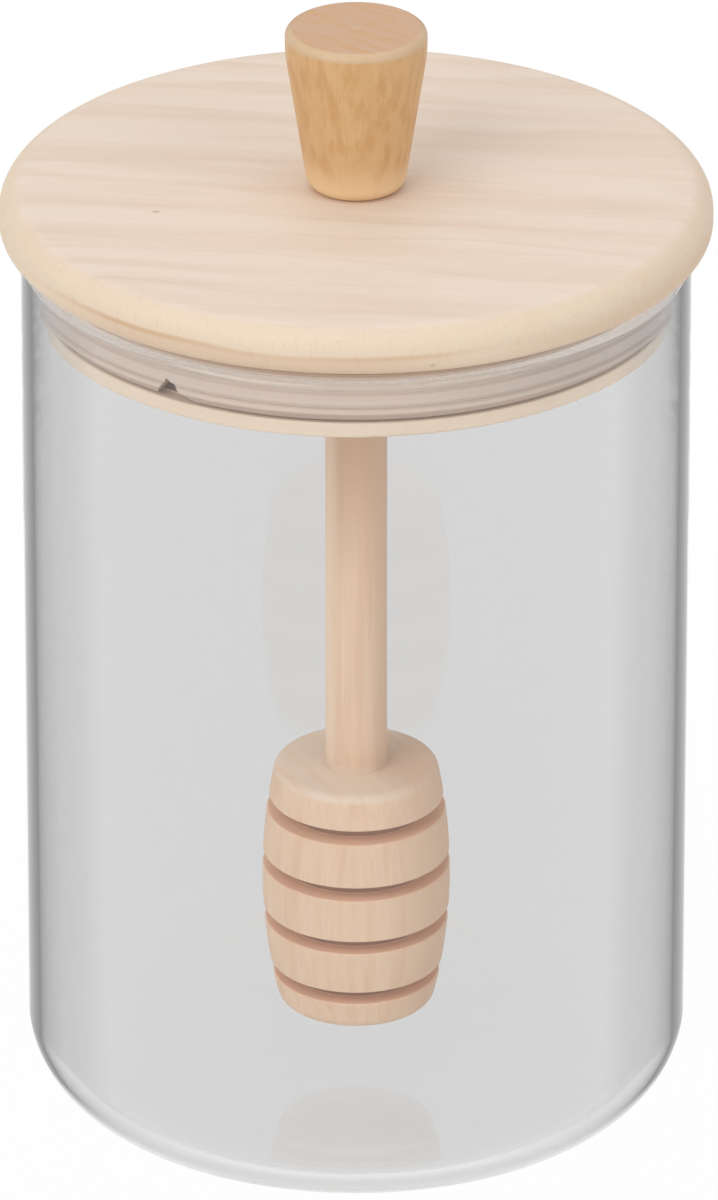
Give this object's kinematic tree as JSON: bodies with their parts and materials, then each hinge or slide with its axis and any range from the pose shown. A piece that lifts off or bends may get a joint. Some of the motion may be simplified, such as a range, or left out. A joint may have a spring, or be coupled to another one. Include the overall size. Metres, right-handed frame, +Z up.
{
  "type": "glass honey jar with wooden lid and dipper",
  "caption": "Straight clear glass honey jar, closed by a push-in wooden lid with a ribbed seal and a knob; a wooden honey dipper hangs from the lid inside.",
  "frame": {"origin": "middle of the jar's flat base", "axes": "+Z up along the axis that every piece is turned about; the nick in the seal is towards -Y and a little -X, the side that is shown"},
  "size_m": [0.102, 0.102, 0.1667],
  "materials": {
    "clear_glass": "clear and colourless, polished, flame-rounded rim",
    "pale_wood": "pale sanded hardwood with fine straight grain, matt, lightly oiled",
    "seal_silicone": "soft milky silicone, slightly see-through, satin",
    "dipper_wood": "plain sanded hardwood, matt",
    "amber_wood": "warm amber hardwood, thin satin varnish"
  },
  "bodies": {
    "root": {"jar": "clear_glass", "lid": "pale_wood", "seal": "seal_silicone", "dipper": "dipper_wood", "knob": "amber_wood"}
  },
  "joints": []
}
